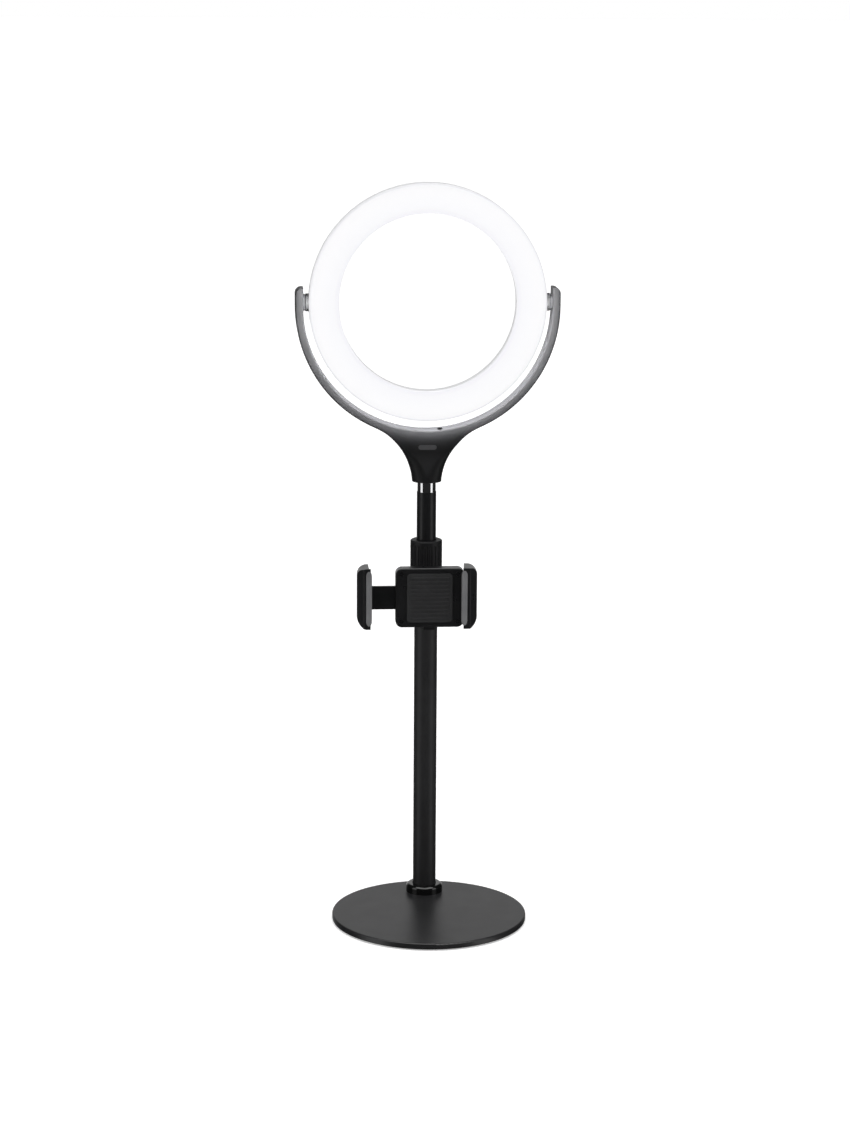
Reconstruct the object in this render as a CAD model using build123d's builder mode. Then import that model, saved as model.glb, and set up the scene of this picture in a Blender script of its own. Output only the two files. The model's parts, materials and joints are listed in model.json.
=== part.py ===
from build123d import *
from math import cos, radians, sin, sqrt
import os

# A desktop ring light: a round weighted base, a telescopic pole, a swivelling yoke with a
# tilting ring of LEDs, and a clamp that holds a phone. Millimetres, +Z up. The light shines
# towards -Y. The origin is the centre of the round base, on the surface it stands on.

# Weighted base
base_radius = 75.0
pad_radius = 72.0
pad_thickness = 1.2
plate_thickness = 4.5
base_top = pad_thickness + plate_thickness
pole_y = 51.0  # the pole stands behind the centre of the base
collar_radius = 14.3
collar_height = 6.4
counterbore_radius = 7.5
counterbore_depth = 2.4
pad_hole = 9.0
foot_head_radius = 6.8
foot_head_bottom = 0.6
foot_screw_radius = 3.95
foot_screw_length = 15.0
plug_height = 16.0

# Telescopic pole
running_gap = 0.06  # radial clearance of every running fit
lower_radius = 9.0
lower_bore = 8.2
lower_top = 280.0
bush_foot = 256.0
upper_radius = 7.5
upper_bore = 6.5
upper_bottom = 118.0
slide_bush_height = 6.0
upper_top = 327.8
lock_radius = 12.3
lock_bottom = 267.5
lock_top = 290.0

# Spindle between the pole and the yoke
neck_bottom = 336.0
shoulder_radius = 7.15
shoulder_top = neck_bottom + 2.5
journal_radius = 4.0
spindle_foot = upper_top - 20.0
spindle_top = 355.5
clip_bottom = 353.05
clip_thickness = 0.9
bush_bottom = shoulder_top + 1.0
bush_top = 350.5
bush_flange_radius = 8.5
bush_flange = 1.6
bush_radius = 7.0

# Yoke
yoke_outer = 100.8
yoke_inner = 94.65
yoke_depth = 16.5
yoke_z = 471.0  # centre of the yoke's bend
arm_top = 485.6
arm_wall = 1.6
arm_middle = (yoke_outer + yoke_inner) / 2
flare_end = 42.0  # half width at which the flare of the neck meets the bend
flare_points = ((11.3, neck_bottom), (13.4, 347.3), (20.4, 362.0), (29.2, 371.8))
yoke_edge = 1.2
neck_top = 367.0  # above it the yoke is flat, below it the neck turns round
neck_sections = (  # height, half width, half depth, corner radius
    (neck_bottom, 11.3, 11.3, 11.25),
    (342.5, 12.15, 10.95, 10.6),
    (349.0, 13.95, 10.2, 9.6),
    (355.0, 16.4, 9.4, 7.4),
    (361.0, 19.75, 8.7, 4.2),
    (neck_top, 24.35, yoke_depth / 2, yoke_edge + 0.1),
)
pocket_points = ((9.0, bush_top), (14.8, 358.0), (20.8, 366.0), (25.6, 371.8), (31.0, 376.5))
channel_top = 478.6
cavity_half_depth = 6.25
neck_screw_places = ((-21.0, 369.5), (21.0, 369.5))
yoke_screw_places = ((-97.7, 481.5), *neck_screw_places, (97.7, 481.5))
yoke_screw_radius = 1.0
yoke_screw_head = 1.95
yoke_screw_seat = pole_y + 6.6
emblem_length = 14.0
emblem_height = 3.6
emblem_z = 363.5
emblem_back = pole_y - 7.2
button_z = 368.6
button_pitch = 11.0
button_places = ((-button_pitch, button_z), (0, button_z), (button_pitch, button_z))
button_length = 8.0
button_height = 4.2
button_flange_y = 56.3
inlet_z = 360.4
board_boss_places = ((-14.0, 363.8), (14.0, 363.8))
board_front = 51.9
board_back = 52.9
lead_radius = 0.7
lead_bend = 98.2  # the lead runs near the outer wall of the arm

# Ring head
pivot_z = 474.0
ring_outer = 90.6
ring_inner = 67.4
ring_front = pole_y - 7.5
ring_back = pole_y + 7.5
ring_wall = 1.8
board_rear = ring_back - 4.1
board_thickness = 1.2
board_inner = 70.2
board_outer = 81.7
led_radius = 76.0
led_pairs = 36
ring_screw_circle = 84.6
ring_screw_places = [
    (ring_screw_circle * cos(radians(angle)), ring_screw_circle * sin(radians(angle)))
    for angle in range(30, 390, 60)
]
ring_screw_seat = ring_back - 1.2
ring_screw_head = 2.2
ring_post_radius = 2.1
hub_radius = 6.8
hub_end = 93.2
pin_radius = 3.0
pin_bore = 1.2
pin_thread = 2.0
pin_steps = ((97.1, 96.35, 4.4), (96.35, 90.95, pin_radius), (90.95, 85.6, pin_thread))

# Phone holder, with the grips as far apart as a phone is wide
holder_z = 252.7
grip_left = -45.8
grip_right = 25.2
phone_back = 9.0
phone_front = 0.8
jaw_bottom = holder_z - 21.6
jaw_top = holder_z + 25.5
moving_jaw_width = 9.7
fixed_jaw_width = 10.9
jaw_lip_front = phone_front - 2.6
jaw_lip_back = phone_front - 1.4
jaw_back = 16.8
pad_front = phone_front - 3.7
pad_bottom = holder_z - 18.9
pad_top = holder_z + 23.6
pad_width = 4.4
pad_tip = 4.0
moving_pad_reach = 1.1
fixed_pad_reach = 1.8
cover_front = 10.5
cover_back = 12.0
housing_back = 21.0
housing_left = -26.0
housing_right = 26.3
housing_half_height = 23.0
housing_wall = 2.0
slider_half_height = 9.0
slider_front = 12.2
slider_back = 14.6
slider_length = 59.1
slider_middle = -22.6
holder_screw_places = ((-21.5, -18.5), (21.5, -18.5), (21.5, 18.5), (-21.5, 18.5))
holder_screw_radius = 0.85
holder_screw_head = 1.75

# Clamp between the pole and the phone holder
clamp_half_height = 9.5
clamp_radius = 13.5
sleeve_radius = 10.0
lug_y = 71.5
tilt_y = 30.5
ear_radius = 4.6
ear_inner = 3.3
ear_thickness = 3.5
lug_gap = 1.0
lug_thickness = 5.0
tilt_pin = 2.5
clamp_screw_radius = 2.0
swivel_y = 18.75  # rear face of the holder's swivel joint
swivel_radius = 4.0

pole_axis = Axis((0, pole_y, 0), (0, 0, 1))
pole_section = Plane(origin=(0, pole_y, 0), x_dir=(1, 0, 0), z_dir=(0, -1, 0))
ring_axis = Axis((0, 0, pivot_z), (0, 1, 0))
ring_section = Plane(origin=(0, 0, pivot_z), x_dir=(1, 0, 0), z_dir=(0, 0, 1))


def level(z):
    """Horizontal plane centred on the pole, facing up."""
    return Plane(origin=(0, pole_y, z))


def upright(y, z=0.0):
    """Plane across the object at depth y, facing the rear; local x is -X and local y is +Z."""
    return Plane(origin=(0, y, z), x_dir=(-1, 0, 0), z_dir=(0, 1, 0))


def sideways(x, y, z):
    """Plane at side position x, facing +X, with local x along +Y and local y up."""
    return Plane(origin=(x, y, z), x_dir=(0, 1, 0), z_dir=(1, 0, 0))


def tube(plane, outer, inner, length):
    """Round tube or washer standing on a plane."""
    with BuildPart() as piece:
        with BuildSketch(plane):
            Circle(outer)
            Circle(inner, mode=Mode.SUBTRACT)
        extrude(amount=length)
    return piece


def hex_nut(plane, across_flats, bore, length):
    """Hexagon nut standing on a plane."""
    with BuildPart() as piece:
        with BuildSketch(plane):
            RegularPolygon(across_flats / 2, 6, major_radius=False)
            Circle(bore, mode=Mode.SUBTRACT)
        extrude(amount=length)
    return piece


def thumb_knob(plane, radius, length, screw_radius):
    """Knob with a rounded end and a scalloped rim, standing on a plane that faces +X."""
    with BuildPart() as piece:
        with BuildSketch(plane):
            Circle(radius)
        extrude(amount=length)
        fillet(piece.edges().filter_by(GeomType.CIRCLE).sort_by(Axis.X)[-1], 1.4)
        fillet(piece.edges().filter_by(GeomType.CIRCLE).sort_by(Axis.X)[0], 0.5)
        with BuildSketch(plane):
            with PolarLocations(radius + 1.1, 10):
                Circle(1.9)
        extrude(amount=length, mode=Mode.SUBTRACT)
        with BuildSketch(plane):
            Circle(screw_radius)
        extrude(amount=length - 2.0, mode=Mode.SUBTRACT)
    return piece


def screw_set(plane, places, head_radius, head_height, shank_radius, shank_length):
    """Screws with rounded heads standing on a plane that faces the rear, shanks below it."""
    with BuildPart() as piece:
        with BuildSketch(plane):
            with Locations(*places):
                Circle(head_radius)
        extrude(amount=head_height)
        fillet(piece.edges().group_by(Axis.Y)[-1], 0.4)
        with BuildSketch(plane):
            with Locations(*places):
                Circle(shank_radius)
        extrude(amount=-shank_length)
    return piece


# Base ---------------------------------------------------------------------------------

with BuildPart() as base_pad:
    with BuildSketch():
        Circle(pad_radius)
        with Locations((0, pole_y)):
            Circle(pad_hole, mode=Mode.SUBTRACT)
    extrude(amount=pad_thickness)

with BuildPart() as base_plate:
    with BuildSketch(Plane.XY.offset(pad_thickness)):
        Circle(base_radius)
    extrude(amount=plate_thickness)
    fillet(base_plate.edges().group_by(Axis.Z)[-1], 1.1)
    fillet(base_plate.edges().group_by(Axis.Z)[0], 0.6)
    with BuildSketch(level(pad_thickness)):
        Circle(counterbore_radius)
    extrude(amount=counterbore_depth, mode=Mode.SUBTRACT)
    with BuildSketch(level(pad_thickness)):
        Circle(foot_screw_radius + 0.25)
    extrude(amount=plate_thickness, mode=Mode.SUBTRACT)

with BuildPart() as base_screw:
    with BuildSketch(level(foot_head_bottom)):
        Circle(foot_head_radius)
    extrude(amount=pad_thickness + counterbore_depth - foot_head_bottom)
    fillet(base_screw.edges().group_by(Axis.Z)[0], 1.2)
    with BuildSketch(level(pad_thickness + counterbore_depth)):
        Circle(foot_screw_radius)
    extrude(amount=foot_screw_length)
    chamfer(base_screw.edges().group_by(Axis.Z)[-1], 0.6)
    with BuildSketch(level(foot_head_bottom)):
        RegularPolygon(2.5, 6, major_radius=False)
    extrude(amount=2.2, mode=Mode.SUBTRACT)

with BuildPart() as tube_foot_plug:
    with BuildSketch(level(base_top)):
        Circle(lower_bore - 0.03)
        Circle(foot_screw_radius + 0.05, mode=Mode.SUBTRACT)
    extrude(amount=plug_height)
    chamfer(tube_foot_plug.edges().group_by(Axis.Z)[-1], 0.6)

with BuildPart() as lower_tube:
    with BuildSketch(level(base_top)):
        Circle(lower_radius)
        Circle(lower_bore, mode=Mode.SUBTRACT)
    extrude(amount=lower_top - base_top)

with BuildPart() as base_collar:
    with BuildSketch(level(base_top)):
        Circle(collar_radius)
        Circle(lower_radius + 0.03, mode=Mode.SUBTRACT)
    extrude(amount=collar_height)
    rims = base_collar.edges().group_by(Axis.Z)[-1].sort_by(SortBy.RADIUS)
    fillet(rims[-1], 2.4)
    fillet(rims[0], 0.8)

# Pole ---------------------------------------------------------------------------------

with BuildPart() as tube_end_bush:
    with BuildSketch(pole_section):
        with BuildLine():
            inner = upper_radius + running_gap
            Polyline(
                (inner, bush_foot),
                (lower_bore - 0.03, bush_foot),
                (lower_bore - 0.03, lower_top),
                (lower_radius, lower_top),
                (lower_radius, lower_top + 2.0),
                (inner, lower_top + 2.0),
                close=True,
            )
        make_face()
    revolve(axis=pole_axis)

with BuildPart() as lock_collet:
    with BuildSketch(pole_section):
        with BuildLine():
            inner = upper_radius + running_gap
            Polyline(
                (inner, lower_top + 2.1),
                (lower_radius, lower_top + 2.1),
                (lower_radius, lower_top + 3.2),
                (inner + 0.7, lower_top + 6.6),
                (inner, lower_top + 6.6),
                close=True,
            )
        make_face()
    revolve(axis=pole_axis)
    with BuildSketch(level(lower_top + 3.4)):
        with PolarLocations(lower_radius, 6):
            Rectangle(6.0, 0.9)
    extrude(amount=4.0, mode=Mode.SUBTRACT)

with BuildPart() as lock_collar:
    with BuildSketch(level(lock_bottom)):
        Circle(lock_radius)
    extrude(amount=lock_top - lock_bottom)
    fillet(lock_collar.edges(), 1.0)
    with BuildSketch(level(lock_bottom + 3.0)):
        with PolarLocations(lock_radius + 0.75, 24):
            Circle(1.25)
    extrude(amount=lock_top - lock_bottom - 6.5, mode=Mode.SUBTRACT)
    with BuildSketch(pole_section):
        with BuildLine():
            Polyline(
                (0, lock_bottom),
                (lower_radius + running_gap, lock_bottom),
                (lower_radius + running_gap + 0.3, lower_top + 3.4),
                (upper_radius + 1.0, lower_top + 7.0),
                (upper_radius + 0.3, lower_top + 7.0),
                (upper_radius + 0.3, lock_top),
                (0, lock_top),
                close=True,
            )
        make_face()
    revolve(axis=pole_axis, mode=Mode.SUBTRACT)

with BuildPart() as upper_tube:
    with BuildSketch(level(upper_bottom)):
        Circle(upper_radius)
        Circle(upper_bore, mode=Mode.SUBTRACT)
    extrude(amount=upper_top - upper_bottom)

with BuildPart() as slide_bush:
    with BuildSketch(level(upper_bottom - slide_bush_height)):
        Circle(lower_bore - running_gap)
    extrude(amount=slide_bush_height)
    chamfer(slide_bush.edges(), 0.5)
    with BuildSketch(level(upper_bottom)):
        Circle(upper_bore - 0.03)
    extrude(amount=10.0)
    with BuildSketch(level(upper_bottom - slide_bush_height)):
        Circle(4.0)
    extrude(amount=slide_bush_height + 10.0, mode=Mode.SUBTRACT)

with BuildPart() as spindle:
    with BuildSketch(pole_section):
        with BuildLine():
            Polyline(
                (0, spindle_foot),
                (upper_bore - 0.03, spindle_foot),
                (upper_bore - 0.03, upper_top),
                (shoulder_radius, upper_top),
                (shoulder_radius, shoulder_top),
                (journal_radius, shoulder_top),
                (journal_radius, clip_bottom - 0.05),
                (journal_radius - 0.7, clip_bottom - 0.05),
                (journal_radius - 0.7, clip_bottom + clip_thickness + 0.05),
                (journal_radius, clip_bottom + clip_thickness + 0.05),
                (journal_radius, spindle_top - 0.6),
                (journal_radius - 0.6, spindle_top),
                (0, spindle_top),
                close=True,
            )
        make_face()
    revolve(axis=pole_axis)

thrust_washer = tube(level(shoulder_top), shoulder_radius - 0.25, journal_radius + 0.1, 0.7)

with BuildPart() as spindle_clip:
    with BuildSketch(level(clip_bottom)):
        Circle(journal_radius + 1.8)
        Circle(journal_radius - 0.65, mode=Mode.SUBTRACT)
        with Locations((0, -journal_radius)):
            Rectangle(5.4, 8.0, mode=Mode.SUBTRACT)
    extrude(amount=clip_thickness)

# Yoke ---------------------------------------------------------------------------------

with BuildPart() as neck_bush:
    with BuildSketch(pole_section):
        with BuildLine():
            inner = journal_radius + running_gap
            Polyline(
                (inner, bush_bottom),
                (bush_flange_radius, bush_bottom),
                (bush_flange_radius, bush_bottom + bush_flange),
                (bush_radius, bush_bottom + bush_flange),
                (bush_radius, bush_top),
                (inner, bush_top),
                close=True,
            )
        make_face()
    revolve(axis=pole_axis)

with BuildPart() as neck_spring_washer:
    with BuildSketch(pole_section):
        with BuildLine():
            inner = journal_radius + 0.25
            Polyline(
                (inner, bush_top + 1.8),
                (inner, bush_top + 1.3),
                (6.4, bush_top + 0.1),
                (6.4, bush_top + 0.6),
                close=True,
            )
        make_face()
    revolve(axis=pole_axis)


def arch(outer, inner, top):
    """U-shaped outline around the ring, on the pole's section plane."""
    with BuildSketch(pole_section) as outline:
        with BuildLine():
            Line((-outer, yoke_z), (-outer, top))
            Line((-outer, top), (-inner, top))
            Line((-inner, top), (-inner, yoke_z))
            ThreePointArc((-inner, yoke_z), (0, yoke_z - inner), (inner, yoke_z))
            Line((inner, yoke_z), (inner, top))
            Line((inner, top), (outer, top))
            Line((outer, top), (outer, yoke_z))
            ThreePointArc((outer, yoke_z), (0, yoke_z - outer), (-outer, yoke_z))
        make_face()
    return outline.sketch


flare_z = yoke_z - sqrt(yoke_outer**2 - flare_end**2)
bend_side = (yoke_outer * cos(radians(30.0)), yoke_z - yoke_outer * sin(radians(30.0)))

with BuildSketch(pole_section) as yoke_outline:
    with BuildLine():
        Line((0, neck_bottom), flare_points[0])
        Spline(
            *flare_points,
            (flare_end, flare_z),
            tangents=((0.05, 1.0), ((yoke_z - flare_z) / yoke_outer, flare_end / yoke_outer)),
        )
        ThreePointArc((flare_end, flare_z), bend_side, (yoke_outer, yoke_z))
        Polyline(
            (yoke_outer, yoke_z),
            (yoke_outer, arm_top),
            (yoke_inner, arm_top),
            (yoke_inner, yoke_z),
        )
        RadiusArc((yoke_inner, yoke_z), (0, yoke_z - yoke_inner), yoke_inner)
        Line((0, yoke_z - yoke_inner), (0, neck_bottom))
    make_face()
    mirror(about=Plane.YZ)

with BuildPart() as neck_solid:
    for z, half_width, half_depth, corner in neck_sections:
        with BuildSketch(level(z)):
            RectangleRounded(2 * half_width, 2 * half_depth, corner)
    loft()

with BuildPart() as yoke_solid:
    extrude(yoke_outline.sketch, amount=yoke_depth / 2, both=True)
    corners = yoke_solid.edges().filter_by(Axis.Y).group_by(Axis.Z)[-1].sort_by(Axis.X)
    fillet((corners[0], corners[-1]), 4.8)
    flat_faces = yoke_solid.faces().filter_by(Axis.Y)
    rims = [edge for face in flat_faces for edge in face.outer_wire().edges()]
    fillet([edge for edge in rims if edge.center().Z > neck_top - 3.0], yoke_edge)
    with BuildSketch(level(neck_top)):
        Rectangle(2 * flare_end, 2 * yoke_depth)
    extrude(amount=neck_bottom - neck_top - 1.0, mode=Mode.SUBTRACT)
    add(neck_solid.part)

with BuildPart() as yoke_cavity:
    channel = arch(yoke_outer - arm_wall, yoke_inner + arm_wall, channel_top)
    with BuildSketch(pole_section):
        with BuildLine():
            Polyline(*pocket_points, *((-x, z) for x, z in reversed(pocket_points)), close=True)
        make_face()
        with Locations((0, yoke_z)):
            Circle(yoke_inner + arm_wall, mode=Mode.SUBTRACT)
        add(channel)
        with Locations(*neck_screw_places):
            Circle(2.6, mode=Mode.SUBTRACT)
    extrude(amount=cavity_half_depth, both=True)
    with BuildSketch(level(bush_top)):
        Circle(7.3)
    extrude(amount=6.5)

with BuildPart() as yoke_hollow:
    add(yoke_solid.part)
    add(yoke_cavity.part, mode=Mode.SUBTRACT)
    with BuildSketch(level(neck_bottom)):
        Circle(shoulder_radius + 0.3)
    extrude(amount=bush_bottom - neck_bottom, mode=Mode.SUBTRACT)
    with BuildSketch(level(bush_bottom - 0.1)):
        Circle(bush_flange_radius + 0.03)
    extrude(amount=bush_flange + 0.2, mode=Mode.SUBTRACT)
    with BuildSketch(level(bush_bottom)):
        Circle(bush_radius + 0.03)
    extrude(amount=bush_top - bush_bottom, mode=Mode.SUBTRACT)
    for side in (-1, 1):
        with BuildSketch(sideways(side * arm_middle, pole_y, pivot_z)):
            Circle(pin_radius + running_gap)
        extrude(amount=-side * 6.0, mode=Mode.SUBTRACT)

with BuildPart() as yoke_front_shell:
    add(yoke_hollow.part)
    split(bisect_by=upright(pole_y), keep=Keep.BOTTOM)
    with BuildSketch(upright(pole_y)):
        with Locations(*yoke_screw_places):
            Circle(yoke_screw_radius + 0.03)
    extrude(amount=-6.0, mode=Mode.SUBTRACT)
    with BuildSketch(upright(emblem_back, emblem_z)):
        SlotOverall(emblem_length + 0.04, emblem_height + 0.04)
    extrude(amount=-6.0, mode=Mode.SUBTRACT)

with BuildPart() as neck_emblem:
    with BuildSketch(upright(emblem_back, emblem_z)):
        SlotOverall(emblem_length, emblem_height)
    extrude(amount=-6.0)
    add(yoke_solid.part, mode=Mode.INTERSECT)

with BuildPart() as yoke_rear_shell:
    add(yoke_hollow.part)
    split(bisect_by=upright(pole_y), keep=Keep.TOP)
    with BuildSketch(upright(pole_y)):
        with Locations(*yoke_screw_places):
            Circle(yoke_screw_radius + 0.15)
    extrude(amount=yoke_depth, mode=Mode.SUBTRACT)
    with BuildSketch(upright(yoke_screw_seat)):
        with Locations(*yoke_screw_places):
            Circle(yoke_screw_head + 0.15)
    extrude(amount=yoke_depth, mode=Mode.SUBTRACT)
    with BuildSketch(upright(pole_y + 4.0)):
        with Locations(*button_places):
            SlotOverall(button_length + 0.5, button_height + 0.5)
        with Locations((0, inlet_z)):
            RectangleRounded(9.2, 3.5, 1.7)
    extrude(amount=yoke_depth, mode=Mode.SUBTRACT)
    with BuildSketch(upright(board_back)):
        with Locations(*board_boss_places):
            Circle(1.1)
    extrude(amount=5.0)

yoke_screws = screw_set(
    upright(yoke_screw_seat), yoke_screw_places, yoke_screw_head, 1.2, yoke_screw_radius, 12.0
)

with BuildPart() as control_board:
    with BuildSketch(upright(board_front)):
        with Locations((0, 367.9)):
            Rectangle(32.0, 11.0)
        with Locations((0, 360.0)):
            Rectangle(13.0, 5.0)
    extrude(amount=board_back - board_front)

with BuildPart() as tact_switches:
    with BuildSketch(upright(board_back)):
        with Locations(*button_places):
            Rectangle(4.5, 4.5)
    extrude(amount=1.5)
    with BuildSketch(upright(board_back + 1.5)):
        with Locations(*button_places):
            Circle(1.1)
    extrude(amount=1.1)

with BuildPart() as usb_inlet:
    with BuildSketch(upright(board_back, inlet_z)):
        RectangleRounded(8.94, 3.2, 1.5)
    extrude(amount=6.5)
    with BuildSketch(upright(board_back + 0.6, inlet_z)):
        RectangleRounded(8.34, 2.6, 1.25)
    extrude(amount=6.5, mode=Mode.SUBTRACT)
    with BuildSketch(upright(board_back, inlet_z)):
        Rectangle(6.7, 0.7)
    extrude(amount=5.6)


def push_button(x):
    """Oval cap on the rear of the neck, with a retaining flange and a short stem."""
    with BuildPart() as piece:
        with BuildSketch(upright(button_flange_y, button_z)):
            with Locations((-x, 0)):
                SlotOverall(button_length + 1.6, button_height + 1.6)
        extrude(amount=0.8)
        with BuildSketch(upright(button_flange_y, button_z)):
            with Locations((-x, 0)):
                SlotOverall(button_length, button_height)
        extrude(amount=4.1)
        fillet(piece.edges().group_by(Axis.Y)[-1], 0.6)
        with BuildSketch(upright(button_flange_y, button_z)):
            with Locations((-x, 0)):
                Circle(1.0)
        extrude(amount=-0.3)
    return piece


dimmer_button = push_button(-button_pitch)
power_button = push_button(0.0)
brighter_button = push_button(button_pitch)

with BuildPart() as arm_lead:
    with BuildLine(pole_section) as lead_path:
        start_angle = radians(20.0)
        bend_start = (-lead_bend * sin(start_angle), yoke_z - lead_bend * cos(start_angle))
        run = 19.0
        lead_start = (
            bend_start[0] + run * cos(start_angle),
            bend_start[1] - run * sin(start_angle),
        )
        half_way = (-lead_bend * sin(radians(55.0)), yoke_z - lead_bend * cos(radians(55.0)))
        turn = 1.6
        Line(lead_start, bend_start)
        ThreePointArc(bend_start, half_way, (-lead_bend, yoke_z))
        Line((-lead_bend, yoke_z), (-lead_bend, pivot_z - turn))
        RadiusArc((-lead_bend, pivot_z - turn), (-lead_bend + turn, pivot_z), turn)
        Line((-lead_bend + turn, pivot_z), (-84.0, pivot_z))
    with BuildSketch(Plane(origin=lead_path.line @ 0, z_dir=lead_path.line % 0)):
        Circle(lead_radius)
    sweep()

with BuildPart() as friction_washers:
    for side in (-1, 1):
        with BuildSketch(sideways(side * (yoke_inner - 0.05), pole_y, pivot_z)):
            Circle(6.3)
            Circle(pin_radius + 0.3, mode=Mode.SUBTRACT)
        extrude(amount=-side * 1.25)

with BuildPart() as rest_bumper:
    with BuildSketch(Plane(origin=(9.6, 46.5, yoke_z - yoke_inner - 2.0))):
        Circle(1.8)
    extrude(amount=3.6)
    with BuildSketch(pole_section):
        with Locations((0, yoke_z)):
            Circle(yoke_inner + 3.0)
            Circle(yoke_inner, mode=Mode.SUBTRACT)
    extrude(amount=20.0, both=True, mode=Mode.SUBTRACT)

# Ring head ----------------------------------------------------------------------------


def ring_rectangle(inner, outer, front, back):
    """Rectangle in the ring's section, from its radii and its depths."""
    with Locations(((inner + outer) / 2, (front + back) / 2)):
        Rectangle(outer - inner, back - front)


with BuildPart() as ring_rear_cover:
    with BuildSketch(ring_section) as cover_section:
        ring_rectangle(ring_inner, ring_outer, ring_front + 2.0, ring_back)
        fillet(cover_section.vertices().group_by(Axis.Y)[-1], 2.6)
    revolve(axis=ring_axis)
    with BuildSketch(ring_section):
        ring_rectangle(
            ring_inner + ring_wall, ring_outer - ring_wall, ring_front, ring_back - ring_wall
        )
    revolve(axis=ring_axis, mode=Mode.SUBTRACT)
    with BuildSketch(upright(board_rear, pivot_z)):
        with PolarLocations(led_radius, 12):
            Circle(2.5)
    extrude(amount=ring_back - ring_wall - board_rear)
    with BuildSketch(upright(ring_front, pivot_z)):
        with Locations(*ring_screw_places):
            Circle(1.35)
    extrude(amount=30.0, mode=Mode.SUBTRACT)
    with BuildSketch(upright(ring_screw_seat, pivot_z)):
        with Locations(*ring_screw_places):
            Circle(ring_screw_head + 0.2)
    extrude(amount=30.0, mode=Mode.SUBTRACT)
    with BuildSketch(sideways(0, pole_y, pivot_z)):
        Circle(pin_thread + 0.1)
    extrude(amount=ring_outer, both=True, mode=Mode.SUBTRACT)

with BuildPart() as diffuser:
    with BuildSketch(ring_section) as diffuser_section:
        ring_rectangle(ring_inner, ring_outer, ring_front, ring_front + 1.9)
        fillet(diffuser_section.vertices().group_by(Axis.Y)[0], 1.1)
        ring_rectangle(ring_inner + 1.95, ring_inner + 3.15, ring_front + 1.5, ring_front + 3.4)
        ring_rectangle(ring_outer - 3.15, ring_outer - 1.95, ring_front + 1.5, ring_front + 3.4)
    revolve(axis=ring_axis)
    with BuildSketch(upright(ring_front + 1.5, pivot_z)):
        with Locations(*ring_screw_places):
            Circle(ring_post_radius)
    extrude(amount=ring_back - ring_wall - ring_front - 1.6)
    with BuildSketch(upright(ring_front + 3.4, pivot_z)):
        with Locations(*ring_screw_places):
            Circle(1.2)
    extrude(amount=12.0, mode=Mode.SUBTRACT)

ring_screws = screw_set(
    upright(ring_screw_seat, pivot_z), ring_screw_places, ring_screw_head, 1.0, 1.15, 8.5
)

with BuildPart() as led_board:
    with BuildSketch(upright(board_rear, pivot_z)):
        Circle(board_outer)
        Circle(board_inner, mode=Mode.SUBTRACT)
    extrude(amount=-board_thickness)


def leds(start_angle):
    """Ring of LED packages soldered on the front of the board."""
    with BuildPart() as piece:
        with BuildSketch(upright(board_rear - board_thickness, pivot_z)):
            with PolarLocations(led_radius, led_pairs, start_angle=start_angle):
                Rectangle(3.5, 2.8)
        extrude(amount=-0.7)
    return piece


led_step = 360.0 / led_pairs
warm_leds = leds(0.0)
cool_leds = leds(led_step / 2)

with BuildPart() as reflector:
    with BuildSketch(ring_section):
        with BuildLine():
            Polyline(
                (69.9, ring_front + 4.2),
                (72.0, board_rear - 1.3),
                (80.0, board_rear - 1.3),
                (81.8, ring_front + 4.2),
                (81.3, ring_front + 4.2),
                (79.6, board_rear - 1.7),
                (72.4, board_rear - 1.7),
                (70.4, ring_front + 4.2),
                close=True,
            )
        make_face()
    revolve(axis=ring_axis)
    with BuildSketch(upright(board_rear - 3.0, pivot_z)):
        with PolarLocations(led_radius, 2 * led_pairs):
            Rectangle(4.1, 3.4)
    extrude(amount=3.0, mode=Mode.SUBTRACT)

with BuildPart() as pivot_hubs:
    for side in (-1, 1):
        with BuildSketch(sideways(side * hub_end, pole_y, pivot_z)):
            Circle(hub_radius)
            Circle(pin_radius + 0.02, mode=Mode.SUBTRACT)
        extrude(amount=-side * 4.0)
    with BuildSketch(upright(0, pivot_z)):
        Circle(ring_outer)
    extrude(amount=100.0, mode=Mode.SUBTRACT)
    chamfer(pivot_hubs.edges().filter_by(lambda edge: abs(abs(edge.center().X) - hub_end) < 0.01
                                         and edge.radius > 5.0), 0.5)

with BuildPart() as pivot_pins:
    for side in (-1, 1):
        for start, end, radius in pin_steps:
            with BuildSketch(sideways(side * start, pole_y, pivot_z)):
                Circle(radius)
            extrude(amount=-side * (start - end))
        with BuildSketch(sideways(side * pin_steps[0][0], pole_y, pivot_z)):
            Circle(pin_bore)
        extrude(amount=-side * 12.0, mode=Mode.SUBTRACT)

with BuildPart() as pivot_nuts:
    for side in (-1, 1):
        with BuildSketch(sideways(side * 88.55, pole_y, pivot_z)):
            RegularPolygon(3.2, 6, major_radius=False)
            Circle(pin_thread + 0.02, mode=Mode.SUBTRACT)
        extrude(amount=-side * 2.2)

# Clamp on the pole --------------------------------------------------------------------

clamp_level = level(holder_z - clamp_half_height)

with BuildPart() as clamp_sleeve:
    with BuildSketch(pole_section):
        with BuildLine():
            inner = lower_radius + running_gap
            half_height = clamp_half_height + 0.9
            Polyline(
                (inner, holder_z - half_height),
                (11.5, holder_z - half_height),
                (11.5, holder_z - half_height + 0.7),
                (sleeve_radius, holder_z - half_height + 0.7),
                (sleeve_radius, holder_z + half_height - 0.7),
                (11.5, holder_z + half_height - 0.7),
                (11.5, holder_z + half_height),
                (inner, holder_z + half_height),
                close=True,
            )
        make_face()
    revolve(axis=pole_axis)
    with BuildSketch(level(holder_z - half_height)):
        with Locations((0, sleeve_radius)):
            Rectangle(1.2, 6.0)
    extrude(amount=2 * half_height, mode=Mode.SUBTRACT)

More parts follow.
